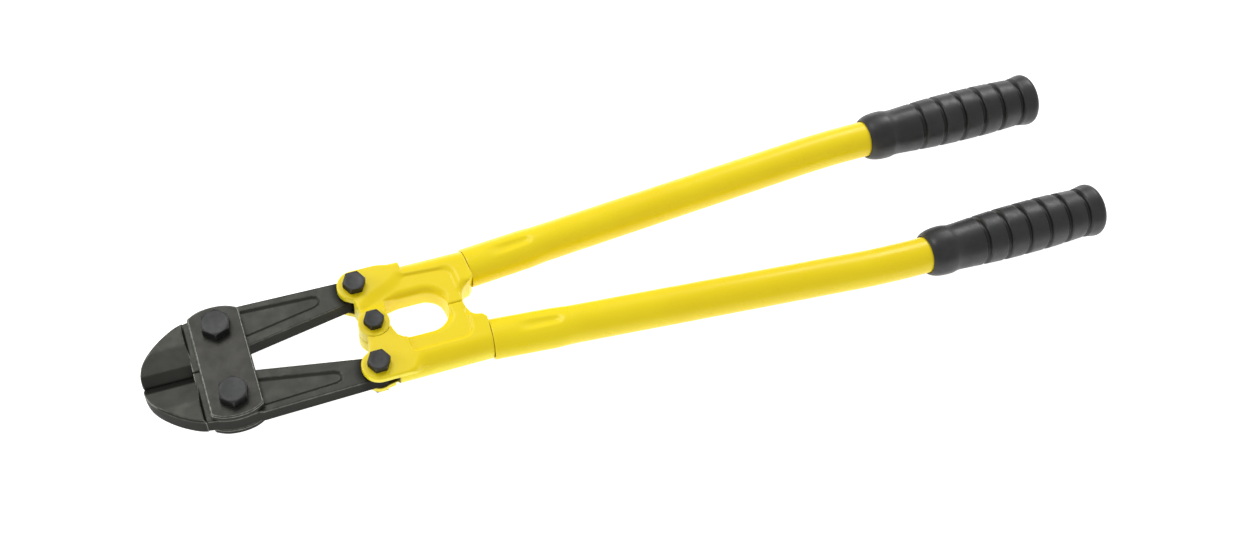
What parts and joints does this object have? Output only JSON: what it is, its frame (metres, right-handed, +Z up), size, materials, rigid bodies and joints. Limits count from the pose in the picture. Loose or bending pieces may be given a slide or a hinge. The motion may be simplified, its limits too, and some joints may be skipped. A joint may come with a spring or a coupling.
{
  "type": "bolt cutters",
  "caption": "Long-handled compound-action bolt cutters: forged half-round jaws strapped between side plates, clevis levers, crimped tube handles and black rubber grips.",
  "frame": {"origin": "middle of the closed tool's bounding box, on the surface it lies on", "axes": "+X along the tool's centre line from the jaws to the grips, +Y to the upper handle's side, +Z up, parallel to the pivot bolts and towards their heads"},
  "size_m": [0.609, 0.129, 0.0348],
  "materials": {
    "forged_steel": "dark forged steel, black-oxide finish, satin",
    "plate_steel": "dark blackened steel plate with bright worn edges",
    "bolt_steel": "black-oxide machine screws",
    "yellow_enamel": "bright yellow semi-gloss enamel on steel",
    "grip_rubber": "black moulded rubber, soft sheen"
  },
  "bodies": {
    "lower_handle": {"lower_lever": "yellow_enamel", "lower_handle_tube": "yellow_enamel", "lower_grip": "grip_rubber", "lower_toggle_bolt": "bolt_steel", "lower_toggle_nut": "bolt_steel", "centre_pivot_bolt": "bolt_steel", "centre_pivot_nut": "bolt_steel"},
    "upper_handle": {"upper_lever": "yellow_enamel", "upper_handle_tube": "yellow_enamel", "upper_grip": "grip_rubber", "upper_toggle_bolt": "bolt_steel", "upper_toggle_nut": "bolt_steel"},
    "lower_jaw": {"lower_jaw": "forged_steel"},
    "upper_jaw": {"upper_jaw": "forged_steel"},
    "side_plates": {"front_side_plate": "plate_steel", "rear_side_plate": "plate_steel", "upper_jaw_bolt": "bolt_steel", "upper_jaw_washer": "bolt_steel", "upper_jaw_nut": "bolt_steel", "lower_jaw_bolt": "bolt_steel", "lower_jaw_washer": "bolt_steel", "lower_jaw_nut": "bolt_steel"}
  },
  "joints": [
    {"name": "handles_open", "type": "hinge", "parent": "lower_handle", "child": "upper_handle", "pos_m": [-0.17, 0, 0.0174], "axis": [0, 0, 1], "range_deg": [0, 90]},
    {"name": "lower_jaw_turn", "type": "hinge", "parent": "lower_handle", "child": "lower_jaw", "pos_m": [-0.1745, -0.0272, 0.0174], "axis": [0, 0, 1], "range_deg": [0, 52.8]},
    {"name": "upper_jaw_turn", "type": "hinge", "parent": "upper_handle", "child": "upper_jaw", "pos_m": [-0.1745, 0.0272, 0.0174], "axis": [0, 0, 1], "range_deg": [-52.8, 0]},
    {"name": "side_plates_turn", "type": "hinge", "parent": "lower_jaw", "child": "side_plates", "pos_m": [-0.2571, -0.0223, 0.0174], "axis": [0, 0, 1], "range_deg": [-7.8, 0]}
  ],
  "couplings": [
    {"joint": "lower_jaw_turn", "follows": "handles_open", "ratio": 0.58584},
    {"joint": "upper_jaw_turn", "follows": "handles_open", "ratio": -0.58584},
    {"joint": "side_plates_turn", "follows": "handles_open", "ratio": -0.08584}
  ]
}
